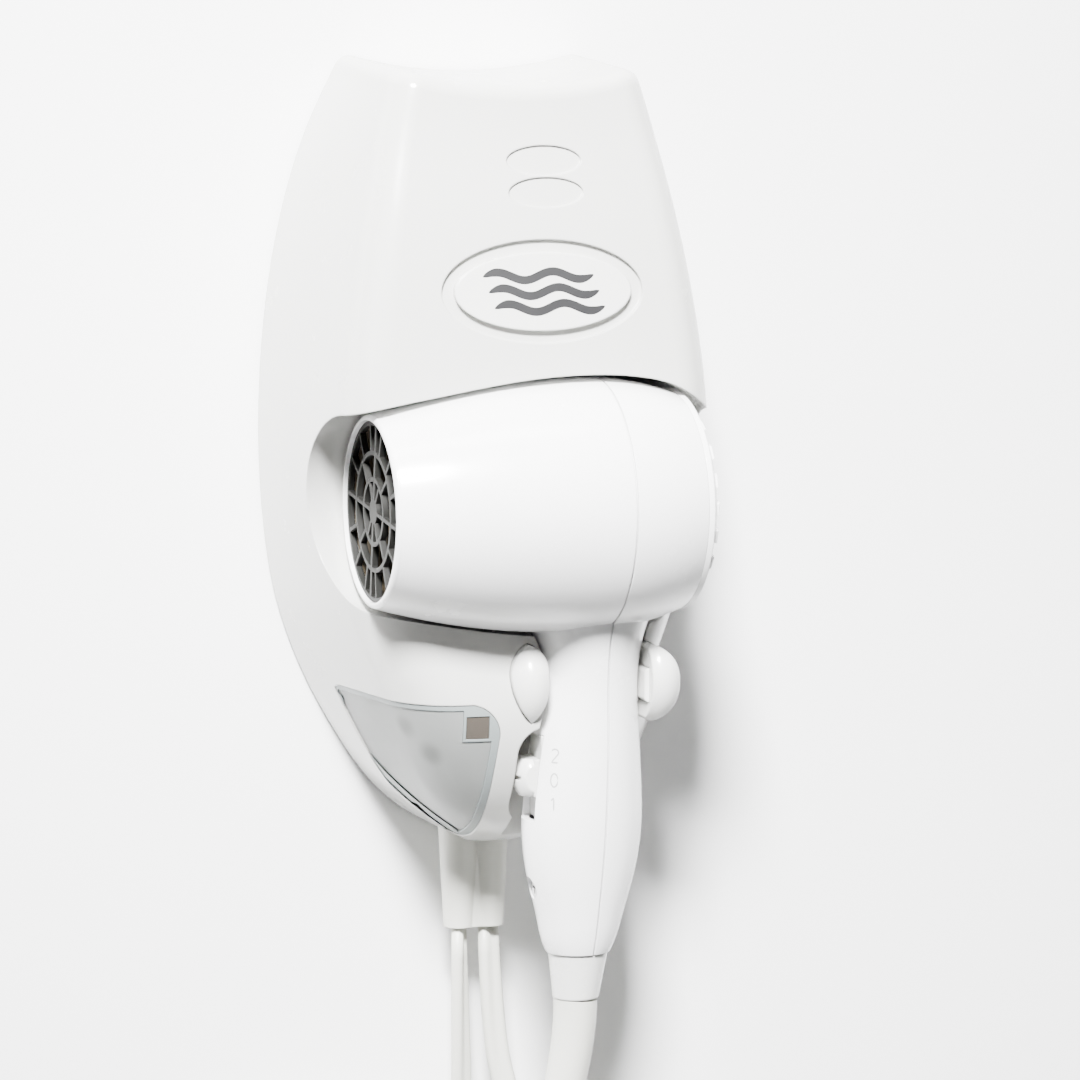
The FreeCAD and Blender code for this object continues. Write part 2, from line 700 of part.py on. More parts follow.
def make_night_light():
    window = block(SENSOR_X, (-80, 0), SENSOR_Z)
    sensor_frame = block((SENSOR_X[0] - 0.8, 5), (-90, 0), (SENSOR_Z[0] - 0.8, -60))
    bezel = lens_prism(0.12).cut(lens_prism(1.6, -0.8)).fuse(lens_prism(0.12).common(sensor_frame))
    bezel = bezel.cut(window).common(hull_layer(0.25, 3.4)).cut(block((-30, 5), (-28.5, 0), (-125, -106)))
    piece("lens_bezel", shaped("lens_bezel_shape", merged(bezel)))
    lens = lens_prism(1.7, -0.8).cut(block((SENSOR_X[0] - 0.9, 5), (-90, 0), (SENSOR_Z[0] - 0.9, -60)))
    lens = lens.common(hull_layer(0.55, 2.6))
    piece("night_light_lens", shaped("night_light_lens_shape", lens))
    pane = block((SENSOR_X[0] + 0.1, SENSOR_X[1] - 0.1), (-80, 0), (SENSOR_Z[0] + 0.1, SENSOR_Z[1] - 0.1))
    piece("sensor_window", shaped("sensor_window_shape", pane.common(hull_layer(0.5, 2.4))))
    piece("led_board", box("led_board_block", (-31.2, -15.6), (-34.4, -32.8), (-89, -75.5)))
    leds = []
    for x, z in ((-28.2, -79.4), (-23.6, -85.6)):
        bulb = rod_shape(V(x, -34.5, z), V(0, -1, 0), 2.5, 3.4).fuse(Part.makeSphere(2.5, V(x, -37.9, z)))
        leds.append(bulb.fuse(rod_shape(V(x, -34.5, z), V(0, -1, 0), 2.9, 1.0)))
    piece("leds", group_of("leds_shape", leds))
    piece("photocell", rod("photocell_disc", (-17.0, -56.0, -76.0), V(0, -1, 0), 2.5, 2.0))
    resistors = [rod_shape(V(x, -35.5, -86), Z_AXIS, 0.9, 5.5) for x in (-19.2, -17.0)]
    piece("led_resistors", group_of("led_resistors_shape", resistors))


# ---------------------------------------------------------------- wall unit: terminals and cable outlet

def lobe_centres():
    return [boot_x.value - boot_pitch.value / 2, boot_x.value + boot_pitch.value / 2]


def boot_lobes(slack):
    """Two tapered tubes side by side, joined by a web: the outlet for the two cords."""
    top, foot, y = -110.0, boot_foot.value, boot_y.value
    r_top, r_foot = 6.6 + slack, 4.75 + slack
    lobes = [Part.makeCone(r_top, r_foot, top - foot, V(x, y, top), V(0, 0, -1)) for x in lobe_centres()]
    web = block((boot_x.value - 3, boot_x.value + 3), (y - 3.7 - slack, y + 3.7 + slack), (foot, top))
    return union(lobes + [web])


def make_cable_boot():
    solid = boot_lobes(0)
    flange = block((boot_x.value - 14, boot_x.value + 14), (boot_y.value - 7.5, boot_y.value + 7.5),
                   (-110.6, -108.6))
    solid = solid.fuse(flange.common(hull_form(wall.value + 0.2)))
    for x in lobe_centres():
        solid = solid.cut(rod_shape(V(x, boot_y.value, boot_foot.value - 1), Z_AXIS, cord_r.value, 60))
    piece("cable_boot", shaped("cable_boot_shape", merged(solid)))


def make_terminals():
    block_body = new_body("terminal_body")
    outline = new_sketch(block_body, "terminal_outline", "XZ_Plane", 8)
    rectangle(outline, (-26, 26), (-6.0 + 92, 6.0 + 92))
    add_pad(block_body, outline, 12)
    wells = new_sketch(block_body, "terminal_wells", "XZ_Plane", 20)
    for i in range(5):
        circle(wells, -20 + 10 * i, 92, 2.6)
    add_pocket(block_body, wells, 7)
    piece("terminal_block", block_body)
    screws = [rod_shape(V(-20 + 10 * i, -13.2, 92), V(0, -1, 0), 2.1, 3.0) for i in range(5)]
    piece("terminal_screws", group_of("terminal_screws_shape", screws))
    bar = box("clamp_bar_block", (boot_x - 13, boot_x + 13), (boot_y - 6.5, boot_y - 3.2), (-106.5, -99.5))
    piece("cord_clamp", bar)
    ends = [V(boot_x.value + side * 11, boot_y.value - 6.6, -103) for side in (-1, 1)]
    clamp = [rod_shape(end, V(0, -1, 0), 2.4, 1.6).fuse(rod_shape(end, Y_AXIS, 1.3, 0.1)) for end in ends]
    piece("clamp_screws", group_of("clamp_screws_shape", clamp))


# ---------------------------------------------------------------- cords

def rounded_route(name, points):
    """A path of straight runs joined by tangent arcs, as large as the shorter run beside each allows."""
    spots = [V(*p) for p in points]
    edges, radii, last = [], [], spots[0]
    for before, here, after in zip(spots, spots[1:], spots[2:]):
        inward, onward = (before - here), (after - here)
        shorter = min(inward.Length, onward.Length)
        inward.normalize()
        onward.normalize()
        turn = math.pi - inward.getAngle(onward)
        radius = 0.45 * shorter / math.tan(turn / 2)
        radii.append(radius)
        step = 0.45 * shorter
        start, end = here + inward * step, here + onward * step
        middle = inward + onward
        middle.normalize()
        centre_far = radius / math.cos(turn / 2)
        top = here + middle * (centre_far - radius)
        edges += [line(last, start), arc(start, top, end)]
        last = end
    edges.append(line(last, spots[-1]))
    print(name, "bend radii", [round(r) for r in radii])
    return Part.Wire(edges)


def cord_tube(label, points, radius):
    path = rounded_route(label, points)
    first = V(*points[1]) - V(*points[0])
    ring = Part.Wire([Part.Circle(V(*points[0]), first, radius).toShape()])
    solid = path.makePipeShell([ring], True, False)
    ratio = solid.Volume / (math.pi * radius * radius * path.Length)
    print(label, "length", round(path.Length), "volume ratio", round(ratio, 3))
    piece(label, shaped(label + "_shape", solid))


# Routes hang from the boot and from the dryer's sleeve down to the put-away coils
POWER_ROUTE = [(-6.9, -17.0, -147.0), (-6.5, -16.8, -173.0), (-5.6, -15.6, -201.0), (-6.2, -12.6, -226.0),
               (-6.9, -12.0, -246.0)]
TAIL_ROUTE = [(-6.9, -12.0, -262.0), (-6.5, -12.0, -276.0), (-6.9, -12.4, -291.0)]
BOOT_ROUTE = [(2.5, -17.0, -147.0), (3.4, -17.0, -171.0), (6.2, -18.6, -197.0), (15.0, -23.0, -219.0),
              (30.0, -28.0, -236.5), (47.0, -31.0, -246.0)]
DRYER_ROUTE = [(9.2, -62.0, -198.0), (5.2, -60.5, -215.0), (4.6, -52.5, -233.0), (8.0, -41.5, -250.0),
               (13.6, -34.0, -267.0)]
POWER_COIL = V(-6.9 - coil_r.value, -12.0, -252.0)
HANDLE_COIL = V(17.5 + coil_r.value, -31.5, -288.0)


def coil_solid(centre, half_wide, half_deep):
    """The outer shape of a put-away coil that lies parallel to the wall."""
    r = coil_r.value
    ring = rod_shape(centre + V(0, half_deep, 0), V(0, -1, 0), r + half_wide, 2 * half_deep)
    hole = rod_shape(centre + V(0, half_deep + 1, 0), V(0, -1, 0), r - half_wide, 2 * half_deep + 2)
    solid = ring.cut(hole)
    return solid.makeFillet(min(half_wide, half_deep) * 0.6, solid.Edges)


def tie_solid(centre, side, half_wide, half_deep):
    """A band round one side of a coil."""
    x = centre.x + side * coil_r.value
    outer = block((x - half_wide - 1.6, x + half_wide + 1.6),
                  (centre.y - half_deep - 1.6, centre.y + half_deep + 1.6), (centre.z - 5, centre.z + 5))
    inner = block((x - half_wide, x + half_wide), (centre.y - half_deep, centre.y + half_deep),
                  (centre.z - 6, centre.z + 6))
    return outer.cut(inner)


def make_cords():
    cord_tube("power_cord", POWER_ROUTE, cord_r.value)
    cord_tube("power_cord_tail", TAIL_ROUTE, cord_r.value)
    cord_tube("handle_cord_lower", BOOT_ROUTE, cord_r.value)
    cord_tube("handle_cord_upper", DRYER_ROUTE, cord_r.value)
    last, before = V(*DRYER_ROUTE[-1]), V(*DRYER_ROUTE[-2])
    run = (before - last).normalize()
    way_in = rod_shape(last - run * 0.4, run, cord_r.value + 0.4, 30)
    piece("power_cord_coil", shaped("power_cord_coil_shape", coil_solid(POWER_COIL, 11.0, 8.0)))
    piece("handle_cord_coil", shaped("handle_cord_coil_shape", coil_solid(HANDLE_COIL, 11.0, 7.0).cut(way_in)))
    piece("power_cord_tie", shaped("power_cord_tie_shape", tie_solid(POWER_COIL, -1, 11.2, 8.2)))
    piece("handle_cord_tie", shaped("handle_cord_tie_shape", tie_solid(HANDLE_COIL, 1, 11.2, 7.2)))


# ---------------------------------------------------------------- plug

plug_x, plug_y, plug_top = dims(plug_centre_x=-6.9, plug_centre_y=-12.4, plug_top_z=-291.0)
plug_half_x, plug_half_y, plug_tall = dims(plug_half_width=15.0, plug_half_depth=9.6, plug_height=50.0)


def make_plug():
    body = new_body("plug_shape", plug_x, plug_y, plug_top)
    outline = new_sketch(body, "plug_outline", "XY_Plane", -8)
    rectangle(outline, (-plug_half_x, plug_half_x), (-plug_half_y, plug_half_y))
    block_pad = add_pad(body, outline, plug_tall - 8, back=True)
    edge_round(body, block_pad, ["Edge1", "Edge3", "Edge5", "Edge7"], 3.0)
    neck = new_sketch(body, "plug_neck", "XY_Plane")
    circle(neck, 0, 0, 5.6)
    add_pad(body, neck, 9, back=True)
    wells = new_sketch(body, "plug_button_wells", "XZ_Plane", plug_half_y)
    for level in (-22, -36):
        rectangle(wells, (-4.2, 4.2), (level - 4.2, level + 4.2))
    add_pocket(body, wells, 5)
    piece("plug_body", body)
    for label, level in (("reset_button", -22), ("test_button", -36)):
        cap = box(label + "_cap", (plug_x - 4, plug_x + 4),
                  (plug_y - plug_half_y - 1.3, plug_y - plug_half_y + 3.6),
                  (plug_top + (level - 4), plug_top + (level + 4)))
        piece(label, cap)
    foot = plug_top.value - plug_tall.value
    blades = []
    for side in (-1, 1):
        x = plug_x.value + 6.35 * side
        blade = block((x - 0.75, x + 0.75), (plug_y.value - 3.15, plug_y.value + 3.15), (foot - 16, foot + 4))
        blades.append(blade.cut(rod_shape(V(x - 2, plug_y.value, foot - 12), X_AXIS, 1.6, 4)))
    piece("plug_blades", group_of("plug_blades_shape", blades))


# ---------------------------------------------------------------- dryer: shells, grilles, handle fittings

SCREW_LEVELS = (-71.0, -127.0)


def screw_start(level):
    return 6.2 if level > -100 else 4.2


def make_dryer_shells():
    slot = block((-6, 8), (-62 - knob_wide.value / 2 - 0.25, -62 + knob_wide.value / 2 + 0.25),
                 (knob_z.value - knob_len.value / 2 - knob_travel.value - 0.4,
                  knob_z.value + knob_len.value / 2 + knob_travel.value + 0.4))
    posts, mates, front_holes, rear_holes = [], [], [], []
    for level in SCREW_LEVELS:
        seat_x = screw_start(level)
        post = rod_shape(V(seat_x - 2.4, -62, level), X_AXIS, 4.4, seam_x.value - seat_x - 2.2)
        posts.append(post.common(dryer_middle).cut(behind_seam))
        mate = rod_shape(V(seam_x.value - 4, -62, level), X_AXIS, 4.4, 30).common(dryer_middle)
        mates.append(mate.common(behind_seam))
        front_holes.append(rod_shape(V(seat_x, -62, level), V(-1, 0, 0), 3.3, 12))
        front_holes.append(rod_shape(V(seat_x - 1, -62, level), X_AXIS, 1.7, 30))
        rear_holes.append(rod_shape(V(seat_x, -62, level), X_AXIS, 1.45, 25.5))
    groove = behind_seam.translated(V(-0.3, 0, 0)).cut(behind_seam.translated(V(0.3, 0, 0)))
    groove = groove.cut(barrel_form(1.1).fuse(handle_form(1.1, 2.0)))
    front = dryer_skin.cut(behind_seam).cut(groove).cut(slot).fuse(posts).cut(front_holes)
    rear = dryer_skin.common(behind_seam).cut(groove).fuse(mates).cut(rear_holes)
    piece("dryer_front_shell", shaped("dryer_front_shell_shape", merged(front)))
    piece("dryer_rear_shell", shaped("dryer_rear_shell_shape", merged(rear)))
    screws = []
    for level in SCREW_LEVELS:
        start = V(screw_start(level), -62, level)
        head = rod_shape(start, V(-1, 0, 0), 2.8, 1.9).cut(block((-5, start.x - 1.1), (-62.4, -61.6),
                                                                (level - 2, level + 2)))
        head = head.cut(block((-5, start.x - 1.1), (-64, -60), (level - 0.4, level + 0.4)))
        screws.append(head.fuse(rod_shape(start, X_AXIS, 1.45, 22)))
    piece("handle_screws", group_of("handle_screws_shape", screws))


def ring_on_axis(outer, inner, x0, x1):
    start = V(x0, axis_y.value, axis_z.value)
    solid = rod_shape(start, X_AXIS, outer, x1 - x0)
    return solid.cut(rod_shape(start - V(1, 0, 0), X_AXIS, inner, x1 - x0 + 2)) if inner else solid


def make_nozzle_grille():
    """Rings and staggered spokes, with one bar right across."""
    body = new_body("grille_body", nozzle_x + 1.2, axis_y, axis_z, FreeCAD.Rotation(X_AXIS, 7))
    hub = new_sketch(body, "grille_hub", "YZ_Plane")
    circle(hub, 0, 0, 3.6)
    add_pad(body, hub, 1.8)
    rings = new_sketch(body, "grille_rings", "YZ_Plane")
    for radius in (10.2, 17.8, mouth_r - 0.2):
        circle(rings, 0, 0, radius)
        circle(rings, 0, 0, radius - 1.3)
    add_pad(body, rings, 1.8)
    bar = new_sketch(body, "grille_bar", "YZ_Plane")
    rectangle(bar, (-0.8, 0.8), (-mouth_r + 1, mouth_r - 1))
    add_pad(body, bar, 1.8)
    for name, near, far, count in (("inner", 3.0, 9.6, 6), ("middle", 9.6, 17.2, 8), ("outer", 17.2, 26.0, 14)):
        spoke = new_sketch(body, "grille_spoke_" + name, "YZ_Plane")
        rectangle(spoke, (near, far), (-0.55, 0.55))
        pad = add_pad(body, spoke, 1.8)
        add_ring(body, pad, count, "YZ_Plane")
    piece("nozzle_grille", body)


def dome(radius_grow, from_x):
    """Half an oval ball on the barrel's rear, grown by a little."""
    r, depth = rear_r.value - 0.9 + radius_grow, dome_depth.value + radius_grow
    ball = Part.makeSphere(1.0)
    grow = FreeCAD.Matrix()
    grow.scale(depth, r, r)
    solid = ball.transformGeometry(grow)
    solid.translate(V(from_x, axis_y.value, axis_z.value))
    return solid


def make_intake_grille():
    start = rear_x.value
    half = block((start, start + 40), (-120, 0), (-70, 50))
    skin = dome(0, start).common(half).cut(dome(-2.0, start - 0.5))
    rim = ring_on_axis(rear_r.value, rear_r.value - 6.5, start + 0.05, start + 1.8)
    cover = skin.cut(ring_on_axis(rear_r.value - 6.0, 0, start - 1, start + 40))
    bars = []
    for i in range(-3, 4):
        level = axis_z.value + 8.1 * i
        slab = block((start - 1, start + 40), (-120, 0), (level - 1.9, level + 1.9))
        bars.append(dome(0.9, start).common(half).cut(dome(-2.0, start - 0.5)).common(slab)
                    .common(ring_on_axis(rear_r.value - 4.5, 0, start - 1, start + 40)))
    post = block((start - 1, start + 40), (axis_y.value - 1.2, axis_y.value + 1.2), (-45, 20))
    spine = skin.common(post)
    collar = ring_on_axis(rear_r.value - 0.3 - 2.2, rear_r.value - 4.4, start - 4, start + 0.5)
    solid = union([cover, rim, spine, collar] + bars)
    piece("intake_grille", shaped("intake_grille_shape", merged(solid)))
    screen = ring_on_axis(rear_r.value - 4.6, 0, start - 3.6, start - 2.8)
    piece("lint_screen", shaped("lint_screen_shape", screen))


def make_heater():
    piece("heater_sleeve", shaped("heater_sleeve_shape", ring_on_axis(25.4, 24.8, nozzle_x.value + 3.1, 1.0)))
    y, z = axis_y.value, axis_z.value
    boards = block((-40.5, 0.0), (y - 24.4, y + 24.4), (z - 0.4, z + 0.4))
    boards = boards.fuse(block((-40.5, 0.0), (y - 0.4, y + 0.4), (z - 24.4, z + 24.4)))
    wire_path = Part.Wire(Part.makeHelix(5.6, 33.6, 18.0))
    ring = Part.Wire([Part.Circle(V(18.0, 0, 0), Y_AXIS, 1.3).toShape()])
    winding = wire_path.makePipeShell([ring], True, True)
    winding.rotate(V(0, 0, 0), Y_AXIS, 90)
    winding.translate(V(-37.5, y, z))
    piece("heater_boards", shaped("heater_boards_shape", boards.cut(winding)))
    piece("heating_coils", shaped("heating_coils_shape", winding))
    piece("thermal_cutout", shaped("thermal_cutout_shape", block((-30, -18), (y + 3, y + 9), (z + 0.4, z + 3.2))))


def make_fan_and_motor():
    y, z = axis_y.value, axis_z.value
    duct = ring_on_axis(34.6, 32.8, 3.0, 25.5).fuse(ring_on_axis(14.6, 12.6, 3.0, 24.0))
    strut = block((3.0, 24.0), (y - 0.8, y + 0.8), (z + 13.6, z + 33.6))
    for i in range(6):
        vane = strut.copy()
        vane.rotate(V(0, y, z), X_AXIS, 60 * i + 30)
        duct = duct.fuse(vane)
    piece("fan_duct", shaped("fan_duct_shape", merged(duct)))
    body = new_body("motor_body", 2.0, axis_y, axis_z)
    can = new_sketch(body, "motor_can", "YZ_Plane")
    circle(can, 0, 0, 12.5)
    add_pad(body, can, 24.0)
    boss = new_sketch(body, "motor_boss", "YZ_Plane", 24)
    circle(boss, 0, 0, 4.0)
    add_pad(body, boss, 1.6)
    bore = new_sketch(body, "motor_bore", "YZ_Plane", 25.6)
    circle(bore, 0, 0, 1.08)
    add_pocket(body, bore, 16.0)
    piece("motor", body)
    piece("motor_shaft", rod("motor_shaft_rod", (14.0, axis_y, axis_z), X_AXIS, 1.0, 25.0))
    hub = ring_on_axis(9.0, 1.0, 28.6, 39.0)
    for i in range(7):
        blade = block((-6.2, 6.2), (-0.7, 0.7), (8.4, 29.2))
        blade.rotate(V(0, 0, 0), Z_AXIS, 38)
        blade = blade.common(rod_shape(V(-20, 0, 0), X_AXIS, 29.0, 40))
        blade.rotate(V(0, 0, 0), X_AXIS, 360.0 / 7 * i)
        blade.translate(V(33.8, y, z))
        hub = hub.fuse(blade)
    piece("fan_impeller", shaped("fan_impeller_shape", merged(hub)))


def make_switch():
    body = new_body("switch_case", 2.6, axis_y, knob_z)
    outline = new_sketch(body, "switch_outline", "YZ_Plane")
    rectangle(outline, (-5.4, 5.4), (-12.6, 12.6))
    add_pad(body, outline, 10.8)
    piece("switch_body", body)
    half_wide, half_long = knob_wide.value / 2, knob_len.value / 2
    stem = block((-1.5, 2.3), (-62 - half_wide, -62 + half_wide), (knob_z.value - half_long, knob_z.value + half_long))
    cap = oval_ball(V(0.4, -62, knob_z.value), (4.9, half_wide + 0.9, half_long + 1.6))
    cap = cap.common(block((-6, 0.4), (-62 - half_wide, -62 + half_wide),
                           (knob_z.value - half_long, knob_z.value + half_long)))
    groove = block((-9, -3.3), (-72, -52), (knob_z.value - 0.6, knob_z.value + 0.6))
    stem = stem.common(block((0.4, 2.3), (-80, -40), (-130, -60)))
    piece("switch_knob", shaped("switch_knob_shape", merged(stem.fuse(cap).cut(groove))))


def tapered(stations):
    """A round tapered solid through (x, z, radius) stations at the handle's depth."""
    rings = []
    spots = [V(x, axis_y.value, z) for x, z, r in stations]
    for i, (x, z, r) in enumerate(stations):
        ahead, behind = spots[min(i + 1, len(spots) - 1)], spots[max(i - 1, 0)]
        rings.append(Part.Wire([Part.Circle(spots[i], ahead - behind, r).toShape()]))
    return Part.makeLoft(rings, True, False)


def make_cord_outlet():
    foot = foot_z.value
    collar = Part.makeLoft([oval(15.9, -62, foot - 0.35, 9.0, 8.4), oval(15.6, -62, foot - 7, 8.0, 7.6),
                            oval(15.2, -62, collar_z.value, 6.9, 6.9)], True, False)
    collar = collar.fuse(rod_shape(V(15.9, -62, foot - 1), Z_AXIS, 5.4, 7.0))
    collar = collar.cut(rod_shape(V(15.6, -62, foot - 20), Z_AXIS, 2.9, 40))
    piece("strain_collar", shaped("strain_collar_shape", merged(collar)))
    sleeve = tapered([(15.1, collar_z.value - 0.5, 6.6), (14.3, -174.0, 6.4), (12.1, -186.0, 6.2),
                      (9.2, -198.0, 5.9)])
    piece("cord_sleeve", shaped("cord_sleeve_shape", sleeve))
    clamp = block((8.5, 21.0), (-66.0, -63.4), (-139.0, -134.0))
    piece("handle_cord_clamp", shaped("handle_cord_clamp_shape", clamp))


# ---------------------------------------------------------------- the whole model

make_wall_bracket()
make_back_plate()
make_housing_screws()
make_front_housing()
make_badge()
make_cradle_fork()
make_dock_plunger()
make_plunger_spring()
make_dock_microswitch()
make_night_light()
make_cable_boot()
make_terminals()
make_cords()
make_plug()
make_dryer_shells()
make_nozzle_grille()
make_intake_grille()
make_heater()
make_fan_and_motor()
make_switch()
make_cord_outlet()
doc.recompute()

failed = [o.Name for o in doc.Objects if "Invalid" in o.State or "Error" in o.State]
bad = [p.Label for p in pieces if p.Shape.isNull() or not p.Shape.isValid() or not p.Shape.Solids]
if failed or bad:
    raise ValueError(f"failed objects {failed}, bad pieces {bad}")
os.makedirs("parts", exist_ok=True)
for made in pieces:
    made.Shape.exportStep(f"parts/{made.Label}.step")
print(len(pieces), "pieces")
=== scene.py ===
"""Looks of the wall-mounted hair dryer, in metres: camera, cords, materials, marks, backdrop and light."""

import json
import math

import bpy
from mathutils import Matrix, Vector
from mathutils.bvhtree import BVHTree


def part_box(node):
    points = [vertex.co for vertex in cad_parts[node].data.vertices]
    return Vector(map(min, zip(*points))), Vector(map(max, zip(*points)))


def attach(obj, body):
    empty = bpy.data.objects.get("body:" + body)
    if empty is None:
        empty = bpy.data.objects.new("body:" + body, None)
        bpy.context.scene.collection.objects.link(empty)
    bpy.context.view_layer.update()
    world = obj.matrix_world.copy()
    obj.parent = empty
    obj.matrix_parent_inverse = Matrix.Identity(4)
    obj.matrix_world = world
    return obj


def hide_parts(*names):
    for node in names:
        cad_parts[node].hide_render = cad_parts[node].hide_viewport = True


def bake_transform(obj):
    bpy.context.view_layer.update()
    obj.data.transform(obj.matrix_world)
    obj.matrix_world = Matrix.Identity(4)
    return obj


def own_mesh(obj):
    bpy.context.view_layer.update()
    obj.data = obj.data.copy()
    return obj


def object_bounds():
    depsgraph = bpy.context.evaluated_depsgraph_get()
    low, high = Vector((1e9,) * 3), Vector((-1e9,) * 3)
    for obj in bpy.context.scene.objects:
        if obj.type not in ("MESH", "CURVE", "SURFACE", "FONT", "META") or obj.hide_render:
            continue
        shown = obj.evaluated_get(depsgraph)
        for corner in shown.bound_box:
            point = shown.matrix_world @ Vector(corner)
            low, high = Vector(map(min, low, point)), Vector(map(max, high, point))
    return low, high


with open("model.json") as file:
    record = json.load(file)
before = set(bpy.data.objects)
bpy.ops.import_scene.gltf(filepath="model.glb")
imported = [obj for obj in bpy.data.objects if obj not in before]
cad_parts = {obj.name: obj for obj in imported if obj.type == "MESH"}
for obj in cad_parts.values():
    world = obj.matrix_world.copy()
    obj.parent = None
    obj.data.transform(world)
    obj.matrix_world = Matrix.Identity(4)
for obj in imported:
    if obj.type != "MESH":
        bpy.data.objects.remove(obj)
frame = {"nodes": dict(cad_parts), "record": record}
cad_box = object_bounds()
MM = 0.001

# ---------------------------------------------------------------- camera

CAMERA_AZIMUTH, CAMERA_ELEVATION = math.radians(-19.0), math.radians(7.0)
CAMERA_TARGET = Vector((0.0150, -0.0300, -0.0270))
CAMERA_DISTANCE = 1.332
CAMERA_LENS = 146.6


def make_camera():
    data = bpy.data.cameras.new("camera")
    data.lens = CAMERA_LENS
    data.sensor_width = 36.0
    data.clip_start, data.clip_end = 0.05, 50.0
    camera = bpy.data.objects.new("camera", data)
    bpy.context.scene.collection.objects.link(camera)
    level = math.cos(CAMERA_ELEVATION)
    away = Vector((math.sin(CAMERA_AZIMUTH) * level, -math.cos(CAMERA_AZIMUTH) * level,
                   math.sin(CAMERA_ELEVATION)))
    camera.location = CAMERA_TARGET + away * CAMERA_DISTANCE
    camera.rotation_euler = (-away).to_track_quat("-Z", "Y").to_euler()
    bpy.context.scene.camera = camera


make_camera()


# ---------------------------------------------------------------- helpers

def new_object(name, mesh):
    made = bpy.data.objects.new(name, mesh)
    bpy.context.scene.collection.objects.link(made)
    return made


def mesh_object(name, verts, faces, smooth=True):
    mesh = bpy.data.meshes.new(name)
    mesh.from_pydata([tuple(v) for v in verts], [], faces)
    if smooth:
        mesh.polygons.foreach_set("use_smooth", [True] * len(mesh.polygons))
    mesh.update()
    return new_object(name, mesh)


def nurbs_line(name, points, closeness):
    """Points along the smooth NURBS line whose control points are given."""
    curve = bpy.data.curves.new(name + "_line", "CURVE")
    curve.dimensions = "3D"
    spline = curve.splines.new("NURBS")
    spline.points.add(len(points) - 1)
    for spot, point in zip(spline.points, points):
        spot.co = (*point, 1.0)
    spline.order_u = 3
    spline.use_endpoint_u = True
    spline.resolution_u = closeness
    holder = bpy.data.objects.new(name + "_line", curve)
    bpy.context.scene.collection.objects.link(holder)
    bpy.context.view_layer.update()
    mesh = bpy.data.meshes.new_from_object(holder.evaluated_get(bpy.context.evaluated_depsgraph_get()))
    line = [v.co.copy() for v in mesh.vertices]
    bpy.data.objects.remove(holder)
    bpy.data.meshes.remove(mesh)
    return line


# ---------------------------------------------------------------- cords

CORD_WIDE, CORD_THICK = 0.0074, 0.0037
COIL_RADIUS = 0.0405
POWER_ROUTE = [(-6.9, -17.0, -147.0), (-6.5, -16.8, -173.0), (-5.6, -15.6, -201.0), (-6.2, -12.6, -226.0),
               (-6.9, -12.0, -246.0)]
TAIL_ROUTE = [(-6.9, -12.0, -262.0), (-6.5, -12.0, -276.0), (-6.9, -12.4, -291.0)]
BOOT_ROUTE = [(2.5, -17.0, -147.0), (3.4, -17.0, -171.0), (6.2, -18.6, -197.0), (15.0, -23.0, -219.0),
              (30.0, -28.0, -236.5), (47.0, -31.0, -246.0)]
DRYER_ROUTE = [(9.2, -62.0, -198.0), (5.2, -60.5, -215.0), (4.6, -52.5, -233.0), (8.0, -41.5, -250.0),
               (13.6, -34.0, -267.0)]
POWER_COIL = Vector((-0.0069 - COIL_RADIUS, -0.0120, -0.2520))
HANDLE_COIL = Vector((0.0175 + COIL_RADIUS, -0.0315, -0.2880))
POWER_SWEEP, HANDLE_SWEEP = 14 * math.pi, 11.5 * math.pi
POINTS_PER_TURN, LINE_STEPS = 16, 5
# A coil's end comes level over this angle; a step to the next turn starts at this share of the turn
END_ANGLE, STEP_START = 0.9, 0.62
# A coil's turns wander by these heights in millimetres, at these waves per radian
WANDER_MM, WANDER_WAVES = (0.5, 0.35), (2.3, 0.71)
# Each core of the flat cord is drawn round to this angle from the cord's middle plane, in steps, in degrees
CORE_ANGLE, CORE_STEP = 128, 32
# Turns of a coil in the order they are wound: step out from the mean radius, step along Y
POWER_TURNS = [(5.6, -3.7), (0.6, -3.9), (-4.4, -3.6), (-9.2, -3.9), (-8.8, 3.8), (-4.0, 3.6), (0.9, 3.9)]
HANDLE_TURNS = [(1.6, -3.4), (-3.6, -3.3), (-8.6, -3.5), (-8.2, 3.4), (-3.2, 3.5), (1.4, 3.3)]


def metres(points):
    return [Vector(p) * MM for p in points]


def coil_points(centre, turns, start_angle, total_angle):
    """Control points of a coil wound parallel to the wall; the angle falls from its start."""
    count = round(total_angle / (2 * math.pi) * POINTS_PER_TURN)
    points = []
    for i in range(1, count):
        swept = total_angle * i / count
        turn = swept / (2 * math.pi)
        here = min(int(turn), len(turns) - 1)
        after = min(here + 1, len(turns) - 1)
        part = min(max((turn - here - STEP_START) / (1 - STEP_START), 0.0), 1.0)
        mix = part * part * (3 - 2 * part)
        out = turns[here][0] * (1 - mix) + turns[after][0] * mix
        side = turns[here][1] * (1 - mix) + turns[after][1] * mix
        ends = min(1.0, swept / END_ANGLE, (total_angle - swept) / END_ANGLE)
        wobble = (WANDER_MM[0] * math.sin(WANDER_WAVES[0] * swept + here)
                  + WANDER_MM[1] * math.sin(WANDER_WAVES[1] * swept))
        radius = COIL_RADIUS + (out * ends + wobble) * MM
        angle = start_angle - swept
        points.append(centre + Vector((radius * math.cos(angle), side * ends * MM, radius * math.sin(angle))))
    return points


